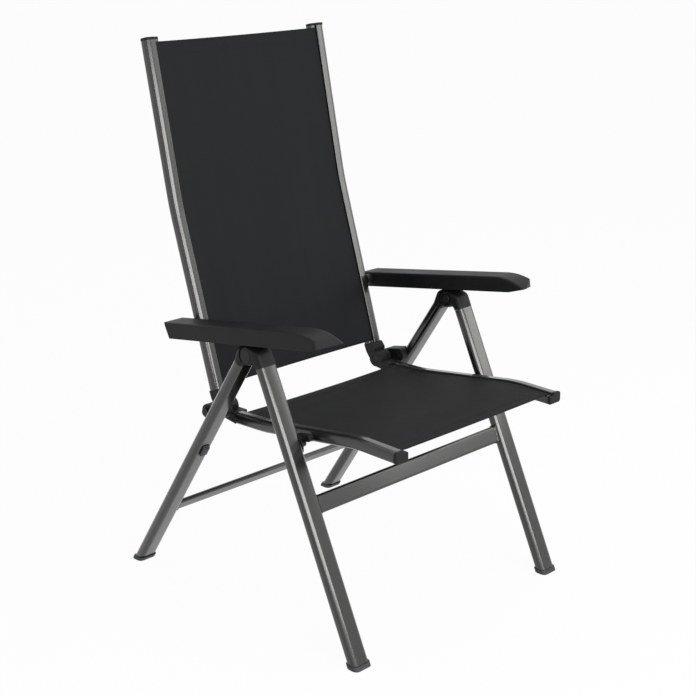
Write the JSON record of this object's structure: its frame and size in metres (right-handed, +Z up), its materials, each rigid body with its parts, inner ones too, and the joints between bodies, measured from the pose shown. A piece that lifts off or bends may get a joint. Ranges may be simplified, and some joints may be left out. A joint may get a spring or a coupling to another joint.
{
  "type": "sling patio chair",
  "caption": "High-back folding patio chair with taut woven slings, anthracite aluminium frame, plastic armrests and a reclining back.",
  "frame": {"origin": "on the floor under the middle of the chair's width and depth", "axes": "+Z up, the seat faces -Y, +X is the sitter's left"},
  "size_m": [0.6, 0.7054, 1.08],
  "materials": {
    "frame_alloy": "satin anthracite powder coat on aluminium tube",
    "black_plastic": "fine grained black moulded nylon",
    "sling_fabric": "open woven coated yarn, near black",
    "black_steel": "blackened steel"
  },
  "bodies": {
    "rear_frame": {"rear_leg_left": "frame_alloy", "rear_leg_right": "frame_alloy", "rear_leg_cap_left": "black_plastic", "rear_leg_cap_right": "black_plastic", "rear_foot_left": "black_plastic", "rear_foot_right": "black_plastic", "fold_buffer_left": "black_plastic", "fold_buffer_right": "black_plastic", "pivot_bracket_left": "black_plastic", "pivot_bracket_right": "black_plastic", "leg_hinge_pin_left": "black_steel", "leg_hinge_pin_right": "black_steel", "rear_crossbar": "frame_alloy"},
    "front_frame": {"front_leg_left": "frame_alloy", "front_leg_right": "frame_alloy", "leg_elbow_left": "black_plastic", "leg_elbow_right": "black_plastic", "front_foot_left": "black_plastic", "front_foot_right": "black_plastic", "seat_rest_pin_left": "black_steel", "seat_rest_pin_right": "black_steel", "front_crossbar": "frame_alloy"},
    "seat": {"seat_rail_left": "frame_alloy", "seat_rail_right": "frame_alloy", "seat_front_cap_left": "black_plastic", "seat_front_cap_right": "black_plastic", "seat_knuckle_left": "black_plastic", "seat_knuckle_right": "black_plastic", "seat_hook_left": "black_plastic", "seat_hook_right": "black_plastic", "seat_sling": "sling_fabric", "seat_front_stretcher": "frame_alloy", "seat_rear_stretcher": "frame_alloy"},
    "backrest_axle": {"seat_hinge_pin_left": "black_steel", "seat_hinge_pin_right": "black_steel", "seat_hinge_spacer_left": "black_plastic", "seat_hinge_spacer_right": "black_plastic"},
    "backrest": {"back_rail_left": "frame_alloy", "back_rail_right": "frame_alloy", "back_top_cap_left": "black_plastic", "back_top_cap_right": "black_plastic", "back_knuckle_left": "black_plastic", "back_knuckle_right": "black_plastic", "back_sling": "sling_fabric", "back_lower_stretcher": "frame_alloy", "back_upper_stretcher": "frame_alloy"},
    "armrest_pivot_left": {"armrest_pin_left": "black_steel"},
    "armrest_pivot_right": {"armrest_pin_right": "black_steel"},
    "armrest_left": {"armrest_shell_left": "black_plastic", "armrest_bush_left": "black_plastic", "ratchet_rack_left": "black_plastic"},
    "armrest_right": {"armrest_shell_right": "black_plastic", "armrest_bush_right": "black_plastic", "ratchet_rack_right": "black_plastic"}
  },
  "joints": [
    {"name": "leg_fold", "type": "hinge", "parent": "rear_frame", "child": "front_frame", "pos_m": [0, -0.032, 0.535], "axis": [1, 0, 0], "range_deg": [0, 59]},
    {"name": "seat_fold", "type": "hinge", "parent": "rear_frame", "child": "seat", "pos_m": [0, 0.119, 0.381], "axis": [1, 0, 0], "range_deg": [-48.6, 0]},
    {"name": "back_fold", "type": "hinge", "parent": "rear_frame", "child": "backrest_axle", "pos_m": [0, 0.119, 0.381], "axis": [1, 0, 0], "range_deg": [0, 49.1]},
    {"name": "recline", "type": "hinge", "parent": "backrest_axle", "child": "backrest", "pos_m": [0, 0.119, 0.381], "axis": [1, 0, 0], "range_deg": [-32, 0]},
    {"name": "armrest_tilt_left", "type": "hinge", "parent": "backrest", "child": "armrest_pivot_left", "pos_m": [0, 0.18244, 0.54002], "axis": [1, 0, 0], "range_deg": [0, 22.9]},
    {"name": "armrest_fold_left", "type": "hinge", "parent": "armrest_pivot_left", "child": "armrest_left", "pos_m": [0, 0.18244, 0.54002], "axis": [1, 0, 0], "range_deg": [-98.1, 0]},
    {"name": "armrest_tilt_right", "type": "hinge", "parent": "backrest", "child": "armrest_pivot_right", "pos_m": [0, 0.18244, 0.54002], "axis": [1, 0, 0], "range_deg": [0, 22.9]},
    {"name": "armrest_fold_right", "type": "hinge", "parent": "armrest_pivot_right", "child": "armrest_right", "pos_m": [0, 0.18244, 0.54002], "axis": [1, 0, 0], "range_deg": [-98.1, 0]}
  ],
  "couplings": [
    {"joint": "seat_fold", "follows": "leg_fold", "ratio": -0.822},
    {"joint": "back_fold", "follows": "leg_fold", "ratio": 0.8305},
    {"joint": "armrest_tilt_left", "follows": "recline", "ratio": -0.715},
    {"joint": "armrest_fold_left", "follows": "leg_fold", "ratio": -1.661},
    {"joint": "armrest_tilt_right", "follows": "recline", "ratio": -0.715},
    {"joint": "armrest_fold_right", "follows": "leg_fold", "ratio": -1.661}
  ]
}
